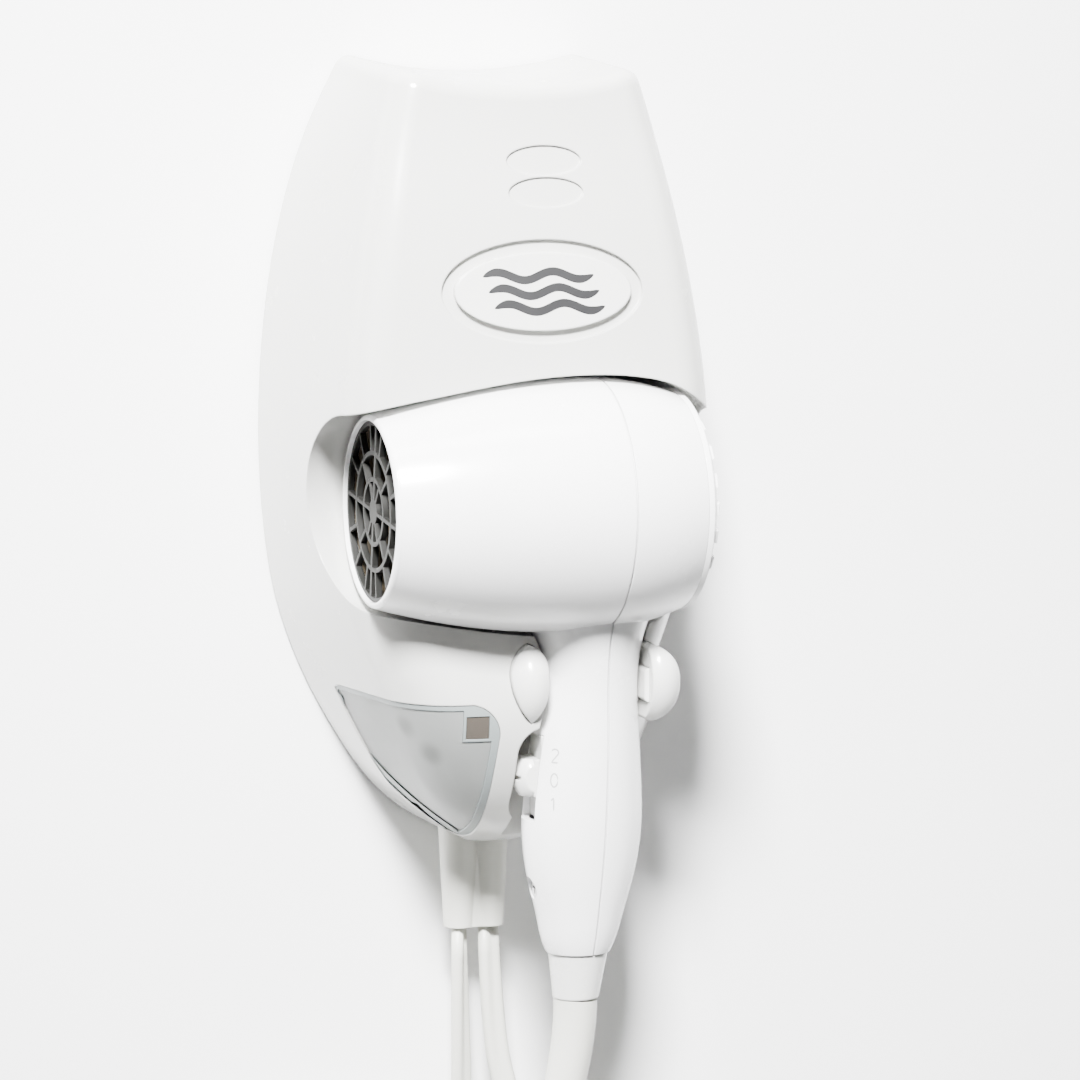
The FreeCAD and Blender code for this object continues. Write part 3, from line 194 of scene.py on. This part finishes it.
def flat_twin(name, line, width_angles):
    """A flat two-core cord along a line: two round cores joined, with a groove between them.

    width_angles are (share of the length, degrees from +X towards +Y) of the cord's width."""
    lengths = [0.0]
    for a, b in zip(line, line[1:]):
        lengths.append(lengths[-1] + (b - a).length)
    core = CORD_THICK / 2
    reach = CORD_WIDE / 2 - core
    half = []
    for degrees in range(-CORE_ANGLE, CORE_ANGLE + 1, CORE_STEP):
        turn = math.radians(degrees)
        half.append((reach + core * math.cos(turn), core * math.sin(turn)))
    outline = half + [(-x, -y) for x, y in half]
    verts, faces = [], []
    count = len(outline)
    for i, here in enumerate(line):
        ahead, behind = line[min(i + 1, len(line) - 1)], line[max(i - 1, 0)]
        tangent = (ahead - behind).normalized()
        share = lengths[i] / lengths[-1]
        angle = math.radians(angle_at(width_angles, share))
        wide = Vector((math.cos(angle), math.sin(angle), 0.0))
        wide = (wide - tangent * wide.dot(tangent)).normalized()
        thick = tangent.cross(wide)
        verts += [here + wide * x + thick * y for x, y in outline]
    for i in range(len(line) - 1):
        for k in range(count):
            a, b = i * count + k, i * count + (k + 1) % count
            faces.append((a, b, b + count, a + count))
    faces.append(tuple(range(count))[::-1])
    last = (len(line) - 1) * count
    faces.append(tuple(range(last, last + count)))
    return mesh_object(name, verts, faces)


def angle_at(stations, share):
    """The angle at a share of the length, between (share, angle) stations."""
    for (s0, a0), (s1, a1) in zip(stations, stations[1:]):
        if share <= s1:
            part = max(0.0, (share - s0) / (s1 - s0))
            return a0 + (a1 - a0) * part
    return stations[-1][1]


def make_power_lead():
    """The mains lead: it rides on the wall unit and ends at the plug."""
    path = metres(POWER_ROUTE) + coil_points(POWER_COIL, POWER_TURNS, 0.0, POWER_SWEEP) + metres(TAIL_ROUTE)
    line = nurbs_line("power", path, LINE_STEPS)
    cord = flat_twin("power_lead", line, [(0.0, 58.0), (0.05, 4.0), (0.12, 84.0), (0.2, 90.0), (1.0, 90.0)])
    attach(cord, "wall_unit")
    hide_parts("power_cord", "power_cord_coil", "power_cord_tail")
    return cord


def make_handle_lead():
    """The lead between the wall unit and the dryer, as one fixed mesh."""
    coil = coil_points(HANDLE_COIL, HANDLE_TURNS, 0.5 * math.pi, HANDLE_SWEEP)
    path = metres(BOOT_ROUTE) + coil + metres(reversed(DRYER_ROUTE))
    line = nurbs_line("handle", path, LINE_STEPS)
    cord = flat_twin("handle_lead", line, [(0.0, 26.0), (0.035, -14.0), (0.1, 88.0), (0.2, 90.0), (0.93, 90.0),
                                           (1.0, 60.0)])
    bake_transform(cord)
    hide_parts("handle_cord_lower", "handle_cord_coil", "handle_cord_upper")
    return cord


cords = [make_power_lead(), make_handle_lead()]


# ---------------------------------------------------------------- materials

def node(tree, kind, **values):
    made = tree.nodes.new(kind)
    for name, value in values.items():
        if name in made.inputs:
            made.inputs[name].default_value = value
        else:
            setattr(made, name, value)
    return made


def surface(name, colour, roughness, tint=0.03, mottle=18.0, grain=900.0, grain_depth=0.02, smudge=0.05,
            edge=0.0, **sockets):
    """A moulded or drawn surface: faint colour mottling, uneven gloss, and a fine grain as bump."""
    made = bpy.data.materials.new(name)
    made.use_nodes = True
    tree = made.node_tree
    shader = tree.nodes["Principled BSDF"]
    for word, value in sockets.items():
        shader.inputs[word.replace("_", " ")].default_value = value
    where = node(tree, "ShaderNodeTexCoord")
    broad = node(tree, "ShaderNodeTexNoise", Scale=mottle, Detail=4.0, Roughness=0.6)
    tree.links.new(where.outputs["Object"], broad.inputs["Vector"])
    ramp = node(tree, "ShaderNodeMix", data_type="RGBA")
    dark = tuple(c * (1 - tint) for c in colour)
    light = tuple(min(c * (1 + tint), 1.0) for c in colour)
    ramp.inputs[6].default_value = (*dark, 1)
    ramp.inputs[7].default_value = (*light, 1)
    tree.links.new(broad.outputs["Fac"], ramp.inputs[0])
    tree.links.new(ramp.outputs[2], shader.inputs["Base Color"])
    rough = node(tree, "ShaderNodeMapRange")
    rough.inputs["From Min"].default_value, rough.inputs["From Max"].default_value = 0.3, 0.7
    rough.inputs["To Min"].default_value = max(roughness - smudge, 0.02)
    rough.inputs["To Max"].default_value = roughness + smudge
    patches = node(tree, "ShaderNodeTexNoise", Scale=mottle * 3.1, Detail=5.0, Roughness=0.65)
    tree.links.new(where.outputs["Object"], patches.inputs["Vector"])
    tree.links.new(patches.outputs["Fac"], rough.inputs["Value"])
    tree.links.new(rough.outputs["Result"], shader.inputs["Roughness"])
    fine = node(tree, "ShaderNodeTexNoise", Scale=grain, Detail=3.0)
    tree.links.new(where.outputs["Object"], fine.inputs["Vector"])
    bump = node(tree, "ShaderNodeBump", Strength=0.35, Distance=grain_depth * MM)
    tree.links.new(fine.outputs["Fac"], bump.inputs["Height"])
    if edge:
        soft = node(tree, "ShaderNodeBevel", samples=6, Radius=edge * MM)
        tree.links.new(soft.outputs["Normal"], bump.inputs["Normal"])
    tree.links.new(bump.outputs["Normal"], shader.inputs["Normal"])
    return made


def make_materials():
    gloss = dict(Coat_Weight=0.35, Coat_Roughness=0.08, IOR=1.49)
    return {
        # The wall unit's white is darker than the dryer's as painted shade for its body behind and under the
        # barrel
        "housing_white": surface("housing_white", (0.57, 0.57, 0.55), 0.24, edge=0.8, **gloss),
        "dryer_white": surface("dryer_white", (0.90, 0.90, 0.90), 0.24, edge=0.5, **gloss),
        "trim_white": surface("trim_white", (0.68, 0.68, 0.66), 0.26, edge=0.9, **gloss),
        "cord_white": surface("cord_white", (0.60, 0.60, 0.55), 0.38, tint=0.05, grain=1500.0,
                              grain_depth=0.03, edge=0.4),
        "plug_white": surface("plug_white", (0.80, 0.80, 0.78), 0.36, edge=0.8),
        "button_black": surface("button_black", (0.03, 0.03, 0.03), 0.45, edge=0.5),
        "button_red": surface("button_red", (0.52, 0.04, 0.03), 0.42, edge=0.5),
        "tie_black": surface("tie_black", (0.035, 0.035, 0.035), 0.55, grain=2400.0, grain_depth=0.06,
                             edge=0.4),
        "grille_dark": surface("grille_dark", (0.010, 0.010, 0.009), 0.55, tint=0.12, edge=0.35,
                               Specular_IOR_Level=0.2),
        "bezel_grey": surface("bezel_grey", (0.20, 0.225, 0.225), 0.36, edge=0.4),
        "plastic_grey": surface("plastic_grey", (0.45, 0.45, 0.44), 0.5, edge=0.5),
        "plastic_black": surface("plastic_black", (0.03, 0.03, 0.03), 0.5, edge=0.5),
        "steel": surface("steel", (0.58, 0.58, 0.58), 0.34, tint=0.06, grain=1800.0, edge=0.3, Metallic=1.0),
        "brass": surface("brass", (0.76, 0.58, 0.27), 0.30, tint=0.05, edge=0.3, Metallic=1.0),
        "mica": surface("mica", (0.055, 0.042, 0.024), 0.6, tint=0.35, mottle=160.0, grain=700.0),
        "heater_wire": surface("heater_wire", (0.12, 0.10, 0.07), 0.36, tint=0.2, mottle=300.0, Metallic=0.9),
        "board_green": surface("board_green", (0.03, 0.16, 0.07), 0.4, tint=0.15, mottle=120.0),
        "photocell_red": surface("photocell_red", (0.36, 0.13, 0.07), 0.35, tint=0.3, mottle=500.0),
        "led_clear": surface("led_clear", (0.55, 0.55, 0.48), 0.12, edge=0.2, IOR=1.5),
        "lens_frosted": surface("lens_frosted", (0.46, 0.475, 0.465), 0.46, tint=0.05, grain=2600.0,
                                grain_depth=0.06, smudge=0.08, Transmission_Weight=0.62, IOR=1.49),
        "window_smoked": surface("window_smoked", (0.11, 0.095, 0.08), 0.14, tint=0.05,
                                 Transmission_Weight=0.45, IOR=1.49),
    }


# Where the two lamps stand behind the lens, in millimetres, and how far the shade painted into the lens colour
# around them reaches
LAMP_SHADE_SPOTS = [(-36.5, -55.5, -77.5), (-29.0, -59.5, -85.0)]
LAMP_CORE, LAMP_REACH, LAMP_SHADE = 1.0, 5.5, 0.55


def paint_lamp_shade(made, lens, lamps):
    """Paints soft shade into the lens colour where the two lamps stand close behind it, for the dark lamps seen
    through the frosted lens.
    """
    tree = made.node_tree
    shader = tree.nodes["Principled BSDF"]
    colour = shader.inputs["Base Color"].links[0].from_socket
    where = node(tree, "ShaderNodeTexCoord")
    to_lens = lens.matrix_world.inverted()
    for lamp in lamps:
        away = node(tree, "ShaderNodeVectorMath", operation="DISTANCE")
        away.inputs[1].default_value = to_lens @ (Vector(lamp) * MM)
        tree.links.new(where.outputs["Object"], away.inputs[0])
        soft = node(tree, "ShaderNodeMapRange", interpolation_type="SMOOTHSTEP")
        soft.inputs["From Min"].default_value = LAMP_CORE * MM
        soft.inputs["From Max"].default_value = LAMP_REACH * MM
        soft.inputs["To Min"].default_value, soft.inputs["To Max"].default_value = LAMP_SHADE, 1.0
        tree.links.new(away.outputs["Value"], soft.inputs["Value"])
        dim = node(tree, "ShaderNodeMix", data_type="RGBA", blend_type="MULTIPLY")
        dim.inputs[0].default_value = 1.0
        tree.links.new(colour, dim.inputs[6])
        tree.links.new(soft.outputs["Result"], dim.inputs[7])
        colour = dim.outputs[2]
    tree.links.new(colour, shader.inputs["Base Color"])


def paint(thing, made):
    if thing.material_slots:
        for place in thing.material_slots:
            place.material = made
    else:
        thing.data.materials.append(made)


materials = make_materials()
for entry in frame["record"]["subparts"]:
    paint(frame["nodes"][entry["node"]], materials[entry["material_slot"]])
for cord in cords:
    paint(cord, materials["cord_white"])
# Painted shade on the lens around the two lamps behind it
paint_lamp_shade(materials["lens_frosted"], frame["nodes"]["night_light_lens"], LAMP_SHADE_SPOTS)
# The spring behind the plunger is 3.15 mm long and is pressed down by the plunger's 2.4 mm
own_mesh(frame["nodes"]["plunger_spring"])


# ---------------------------------------------------------------- marks laid on curved surfaces

# How far in front of a surface a mark's points start, and how far they look for it, in metres
DROP_START, DROP_REACH = 0.03, 0.09
# A stroke's width grows from its tip with the square root of the distance from its end
TIP_GROWTH, TIP_WIDTH = 9, 0.02
# The airflow sign: three waves, each of two periods, stacked on a slant, in metres
WAVE_LENGTH, WAVE_HEIGHT, WAVE_HALF_WIDTH, WAVE_LIFT = 0.034, 0.0012, 0.0012, 0.00006
WAVE_PITCH, WAVE_SLANT, WAVE_STEPS = 0.0046, 0.0016, 40
# The switch's numbers, in metres: their size, their spacing, and where they stand on the handle
DIGIT_HALF, DIGIT_TALL, DIGIT_STROKE, DIGIT_LIFT = 0.0011, 1.8, 0.00022, 0.00005
DIGIT_PITCH, DIGIT_X, DIGIT_Y, DIGIT_FACING = 0.0072, 0.0045, -0.0725, (-0.62, -0.78, 0)


def surface_tree(*names):
    verts, faces = [], []
    for name in names:
        mesh = frame["nodes"][name].data
        first = len(verts)
        verts += [v.co.copy() for v in mesh.vertices]
        faces += [[first + i for i in p.vertices] for p in mesh.polygons]
    return BVHTree.FromPolygons(verts, faces)


def lay_on(tree, flat, centre, right, up, lift):
    """Drops flat (x, y) points in metres onto a surface, from a viewpoint in front of the centre."""
    toward = up.cross(right).normalized()
    laid = []
    for x, y in flat:
        start = centre + right * x + up * y - toward * DROP_START
        hit, normal, _, _ = tree.ray_cast(start, toward, DROP_REACH)
        laid.append((hit if hit else centre + right * x + up * y) - toward * lift)
    return laid


def ribbon(points, half_width):
    """Left and right edges of a flat ribbon along (x, y) points, narrowing at its ends."""
    left, right_side = [], []
    last = len(points) - 1
    for i, (x, y) in enumerate(points):
        ax, ay = points[min(i + 1, last)]
        bx, by = points[max(i - 1, 0)]
        size = math.hypot(ax - bx, ay - by)
        nx, ny = -(ay - by) / size, (ax - bx) / size
        near_end = min(i, last - i) / last
        width = half_width * min(1.0, math.sqrt(near_end * TIP_GROWTH + TIP_WIDTH))
        left.append((x + nx * width, y + ny * width))
        right_side.append((x - nx * width, y - ny * width))
    return left, right_side


def ribbon_mesh(name, tree, strokes, half_width, centre, right, up, lift, body, made):
    verts, faces = [], []
    for stroke in strokes:
        left, right_side = ribbon(stroke, half_width)
        first = len(verts)
        verts += lay_on(tree, left + right_side, centre, right, up, lift)
        count = len(stroke)
        for i in range(count - 1):
            faces.append((first + i, first + i + 1, first + count + i + 1, first + count + i))
    piece = mesh_object(name, verts, faces)
    paint(piece, made)
    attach(piece, body)
    return piece


def make_airflow_mark():
    """Three wavy lines on the badge, a generic sign for moving air."""
    low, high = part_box("badge_plate")
    centre = (low + high) / 2
    strokes = []
    for row in (-1, 0, 1):
        points = []
        for i in range(WAVE_STEPS + 1):
            t = i / WAVE_STEPS
            x = (t - 0.5) * WAVE_LENGTH + row * WAVE_SLANT
            points.append((x, row * -WAVE_PITCH + WAVE_HEIGHT * math.sin(t * 4 * math.pi)))
        strokes.append(points)
    ink = surface("mark_grey", (0.018, 0.018, 0.019), 0.45)
    ribbon_mesh("airflow_mark", surface_tree("badge_plate"), strokes, WAVE_HALF_WIDTH, centre,
                Vector((1, 0, 0)), Vector((0, 0, 1)), WAVE_LIFT, "wall_unit", ink)


def arc_stroke(cx, cy, rx, ry, start, end, count=14):
    return [(cx + rx * math.cos(math.radians(start + (end - start) * i / (count - 1))),
             cy + ry * math.sin(math.radians(start + (end - start) * i / (count - 1)))) for i in range(count)]


def straight_stroke(a, b, count=6):
    return [(a[0] + (b[0] - a[0]) * i / (count - 1), a[1] + (b[1] - a[1]) * i / (count - 1))
            for i in range(count)]


def make_switch_marks():
    """The numbers 2, 0 and 1 beside the switch's slot, at its three places."""
    low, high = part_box("switch_knob")
    middle = (low.z + high.z) / 2
    tree = surface_tree("dryer_front_shell", "dryer_rear_shell")
    facing = Vector(DIGIT_FACING).normalized()
    up = Vector((0, 0, 1))
    right = facing.cross(up).normalized()
    right = -right if right.x < 0 else right
    size, tall = DIGIT_HALF, DIGIT_HALF * DIGIT_TALL
    two = arc_stroke(0, size * 0.9, size, size * 0.9, 160, -40) + straight_stroke((size * 0.6, size * 0.1),
                                                                                 (-size, -tall))
    digits = {
        DIGIT_PITCH: [two, straight_stroke((-size, -tall), (size, -tall))],
        0.0: [arc_stroke(0, 0, size, tall, 0, 360, 24)],
        -DIGIT_PITCH: [straight_stroke((0, tall), (0, -tall)), straight_stroke((-size * 0.8, size), (0, tall))],
    }
    ink = surface("print_grey", (0.40, 0.40, 0.40), 0.4)
    for i, (height, strokes) in enumerate(digits.items()):
        centre = Vector((DIGIT_X, DIGIT_Y, middle + height))
        ribbon_mesh(f"switch_mark_{i}", tree, strokes, DIGIT_STROKE, centre, right, up, DIGIT_LIFT, "dryer",
                    ink)


make_airflow_mark()
make_switch_marks()


# ---------------------------------------------------------------- backdrop, floor and light

WALL_HALF, WALL_GAP, FLOOR_DROP = 3.0, 0.0012, 1.30
# The opening in the wall behind the wall unit, a little inside its outline, as (height, half width)
WALL_OPENING = [(-0.110, 0.018), (-0.100, 0.028), (-0.085, 0.038), (-0.060, 0.050), (-0.020, 0.059),
                (0.020, 0.060), (0.060, 0.056), (0.090, 0.047), (0.104, 0.042)]


def backdrop_material():
    """A plain pale matt wall that can be seen through from behind."""
    made = surface("backdrop", (0.93, 0.93, 0.93), 0.9, tint=0.004, grain=300.0, grain_depth=0.01)
    tree = made.node_tree
    clear = node(tree, "ShaderNodeBsdfTransparent")
    side = node(tree, "ShaderNodeNewGeometry")
    choose = node(tree, "ShaderNodeMixShader")
    output = next(n for n in tree.nodes if n.type == "OUTPUT_MATERIAL")
    tree.links.new(side.outputs["Backfacing"], choose.inputs[0])
    tree.links.new(tree.nodes["Principled BSDF"].outputs["BSDF"], choose.inputs[1])
    tree.links.new(clear.outputs["BSDF"], choose.inputs[2])
    tree.links.new(choose.outputs["Shader"], output.inputs["Surface"])
    return made


def make_stage():
    """The wall is open behind the wall unit, where it never shows, so that light reaches the unit's back."""
    made = backdrop_material()
    y, w = cad_box[1][1] + WALL_GAP, WALL_HALF
    below, above = WALL_OPENING[0][0], WALL_OPENING[-1][0]
    rows = [(-FLOOR_DROP, 0.0), (below, 0.0)] + WALL_OPENING + [(above, 0.0), (w, 0.0)]
    verts, faces = [], []
    for z, half in rows:
        verts += [(-w, y, z), (-half, y, z), (half, y, z), (w, y, z)]
    for row in range(0, 4 * (len(rows) - 1), 4):
        if rows[row // 4][0] < rows[row // 4 + 1][0]:
            faces += [(row, row + 1, row + 5, row + 4), (row + 2, row + 3, row + 7, row + 6)]
    wall = mesh_object("backdrop_wall", verts, faces, smooth=False)
    floor = mesh_object("floor", [(-w, -2 * w, -FLOOR_DROP), (w, -2 * w, -FLOOR_DROP), (w, y, -FLOOR_DROP),
                                  (-w, y, -FLOOR_DROP)], [(0, 1, 2, 3)], smooth=False)
    for thing in (wall, floor):
        paint(thing, made)


def area_light(name, place, look_at, size, power, spread):
    data = bpy.data.lights.new(name, "AREA")
    data.shape = "RECTANGLE"
    data.size, data.size_y = size
    data.energy = power
    data.spread = math.radians(spread)
    lamp = bpy.data.objects.new(name, data)
    bpy.context.scene.collection.objects.link(lamp)
    lamp.location = place
    lamp.rotation_euler = (Vector(look_at) - Vector(place)).to_track_quat("-Z", "Y").to_euler()


def make_light():
    world = bpy.data.worlds.new("studio")
    bpy.context.scene.world = world
    world.use_nodes = True
    world.node_tree.nodes["Background"].inputs["Color"].default_value = (1.0, 1.0, 1.0, 1)
    world.node_tree.nodes["Background"].inputs["Strength"].default_value = 0.11
    area_light("key", (-0.46, -1.18, 1.16), (0, 0, -0.02), (0.34, 0.34), 34, 62)
    area_light("side", (-1.35, -1.05, 0.25), (0, 0, 0), (0.22, 1.2), 0.8, 80)
    area_light("top", (0.0, -0.45, 1.5), (0, 0, 0), (0.9, 0.35), 5, 100)
    area_light("rear", (-0.30, 1.40, 0.60), (0, 0, 0), (0.7, 0.7), 7, 120)


make_stage()
make_light()
